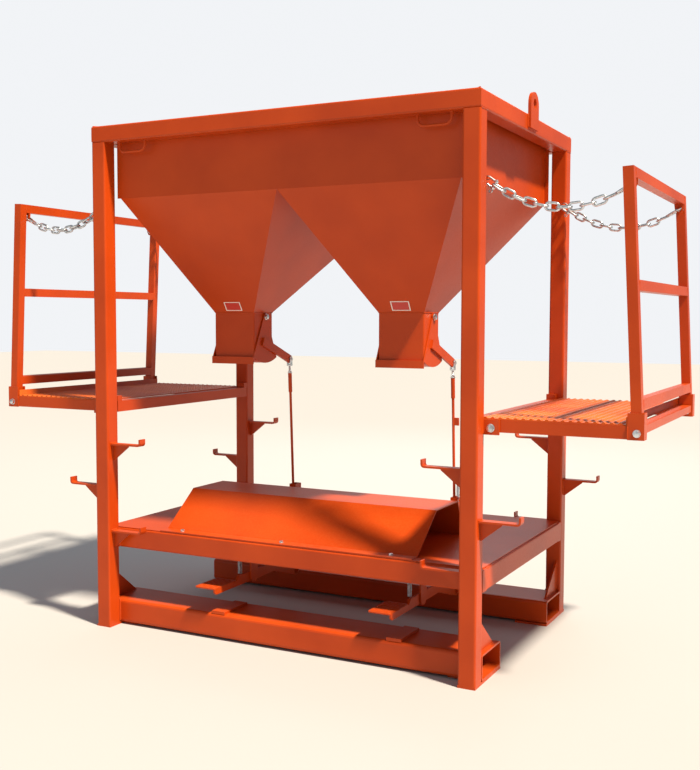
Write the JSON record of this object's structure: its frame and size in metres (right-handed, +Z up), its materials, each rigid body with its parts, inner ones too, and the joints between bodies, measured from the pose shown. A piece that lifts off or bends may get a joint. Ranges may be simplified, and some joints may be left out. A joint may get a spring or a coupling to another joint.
{
  "type": "twin-hopper sandbag filler",
  "caption": "Fork-liftable frame with twin sand hoppers, pedal-worked spout gates, a deck for bags and fold-up side platforms with guard rails and chains.",
  "frame": {"origin": "on the ground, at the middle of the frame's footprint", "axes": "+X to the right along the long side with the platforms at its ends, +Y from the pedal side to the back, +Z up"},
  "size_m": [3.126, 1.269, 2.43],
  "materials": {
    "red_paint": "gloss red-orange machinery paint over welded steel",
    "zinc_plate": "bright zinc plate"
  },
  "bodies": {
    "frame": {"fork_tube_front": "red_paint", "post_front_left": "red_paint", "hook_upper_front_left": "red_paint", "hook_middle_front_left": "red_paint", "hook_lower_front_left": "red_paint", "post_front_right": "red_paint", "hook_upper_front_right": "red_paint", "hook_middle_front_right": "red_paint", "hook_lower_front_right": "red_paint", "fork_tube_rear": "red_paint", "post_rear_left": "red_paint", "hook_upper_rear_left": "red_paint", "hook_middle_rear_left": "red_paint", "hook_lower_rear_left": "red_paint", "post_rear_right": "red_paint", "hook_upper_rear_right": "red_paint", "hook_middle_rear_right": "red_paint", "hook_lower_rear_right": "red_paint", "top_beam_front": "red_paint", "top_beam_rear": "red_paint", "top_beam_left": "red_paint", "top_beam_right": "red_paint", "deck_beam_front": "red_paint", "deck_beam_rear": "red_paint", "deck_beam_left": "red_paint", "deck_beam_right": "red_paint", "deck_plate": "red_paint", "linkage_cover": "red_paint", "hopper": "red_paint", "spout_left": "red_paint", "pedal_bracket_left": "red_paint", "rod_guide_left": "red_paint", "grab_loop_left": "red_paint", "lifting_lug_left": "red_paint", "pedal_spring_left": "zinc_plate", "chain_front_left": "zinc_plate", "chain_rear_left": "zinc_plate", "spout_right": "red_paint", "pedal_bracket_right": "red_paint", "rod_guide_right": "red_paint", "grab_loop_right": "red_paint", "lifting_lug_right": "red_paint", "pedal_spring_right": "zinc_plate", "chain_front_right": "zinc_plate", "chain_rear_right": "zinc_plate", "rod_spring_right": "zinc_plate"},
    "pedal_left": {"pedal_left": "red_paint"},
    "rod_left": {"rod_left": "red_paint", "rod_fork_left": "zinc_plate"},
    "gate_left": {"gate_left": "red_paint"},
    "platform_left": {"platform_frame_left": "red_paint", "platform_plank_left": "red_paint", "guard_rail_left": "red_paint"},
    "pedal_right": {"pedal_right": "red_paint"},
    "rod_right": {"rod_right": "red_paint", "rod_fork_right": "zinc_plate"},
    "gate_right": {"gate_right": "red_paint"},
    "platform_right": {"platform_frame_right": "red_paint", "platform_plank_right": "red_paint", "guard_rail_right": "red_paint"}
  },
  "joints": [
    {"name": "pedal_press_left", "type": "hinge", "parent": "frame", "child": "pedal_left", "pos_m": [-0.3149, -0.27, 0.236], "axis": [1, 0, 0], "range_deg": [0, 15], "stiffness_Nm_per_rad": 6.5, "springref_deg": -22.92, "deforming": ["pedal_spring_left"]},
    {"name": "rod_swing_left", "type": "hinge", "parent": "pedal_left", "child": "rod_left", "pos_m": [-0.3149, 0.145, 0.17], "axis": [1, 0, 0], "range_deg": [-19, 0]},
    {"name": "gate_swing_left", "type": "hinge", "parent": "frame", "child": "gate_left", "pos_m": [-0.4364, -0.132, 1.463], "axis": [1, 0, 0], "range_deg": [0, 26]},
    {"name": "platform_fold_left", "type": "hinge", "parent": "frame", "child": "platform_left", "pos_m": [-0.975, 0, 1.031], "axis": [0, 1, 0], "range_deg": [0, 30], "deforming": ["chain_front_left", "chain_rear_left"]},
    {"name": "pedal_press_right", "type": "hinge", "parent": "frame", "child": "pedal_right", "pos_m": [0.5579, -0.27, 0.236], "axis": [1, 0, 0], "range_deg": [0, 15], "stiffness_Nm_per_rad": 6.5, "springref_deg": -22.92, "deforming": ["pedal_spring_right", "rod_spring_right"]},
    {"name": "rod_swing_right", "type": "hinge", "parent": "pedal_right", "child": "rod_right", "pos_m": [0.5579, 0.145, 0.17], "axis": [1, 0, 0], "range_deg": [-19, 0]},
    {"name": "gate_swing_right", "type": "hinge", "parent": "frame", "child": "gate_right", "pos_m": [0.4364, -0.132, 1.463], "axis": [1, 0, 0], "range_deg": [0, 26]},
    {"name": "platform_fold_right", "type": "hinge", "parent": "frame", "child": "platform_right", "pos_m": [0.975, 0, 1.031], "axis": [0, -1, 0], "range_deg": [0, 30], "deforming": ["chain_front_right", "chain_rear_right"]}
  ],
  "couplings": [
    {"joint": "gate_swing_left", "follows": "pedal_press_left", "ratio": 1.695},
    {"joint": "rod_swing_left", "follows": "pedal_press_left", "ratio": -1.245},
    {"joint": "gate_swing_right", "follows": "pedal_press_right", "ratio": 1.695},
    {"joint": "rod_swing_right", "follows": "pedal_press_right", "ratio": -1.245}
  ]
}
